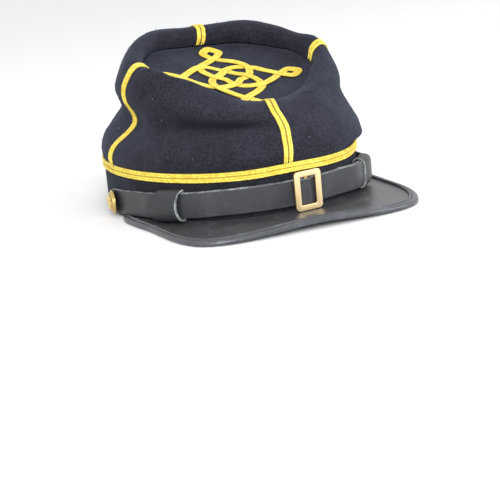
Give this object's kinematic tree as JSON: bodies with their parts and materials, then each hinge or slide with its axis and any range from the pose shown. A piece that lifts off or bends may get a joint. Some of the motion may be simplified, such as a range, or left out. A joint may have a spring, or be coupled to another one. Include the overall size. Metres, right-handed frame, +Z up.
{
  "type": "kepi cap",
  "caption": "Soft wool kepi with an upright band, sunken oval top, leather peak, buckled chin strap and yellow braid.",
  "frame": {"origin": "middle of the cap's bounding box, on the surface it rests on", "axes": "+Z up, -Y forward along the peak, +X to the wearer's left"},
  "size_m": [0.1922, 0.2556, 0.12],
  "materials": {
    "navy_wool": "napped wool broadcloth, near black navy",
    "yellow_braid": "golden yellow soutache braid",
    "peak_leather": "smooth black, satin gloss",
    "binding_leather": "folded dark grey binding, matt",
    "strap_leather": "black satin with pale cut edges",
    "buckle_brass": "pale, lightly brushed",
    "button_brass": "domed and polished"
  },
  "bodies": {
    "root": {"crown": "navy_wool", "band": "navy_wool", "top_disc": "navy_wool", "band_braid": "yellow_braid", "front_stripe": "yellow_braid", "back_stripe": "yellow_braid", "right_stripe": "yellow_braid", "left_stripe": "yellow_braid", "top_knot": "yellow_braid", "peak": "peak_leather", "peak_binding": "binding_leather", "strap_under": "strap_leather", "strap_over": "strap_leather", "keeper_right": "strap_leather", "keeper_left": "strap_leather", "buckle": "buckle_brass", "button_right": "button_brass", "button_left": "button_brass"}
  },
  "joints": []
}
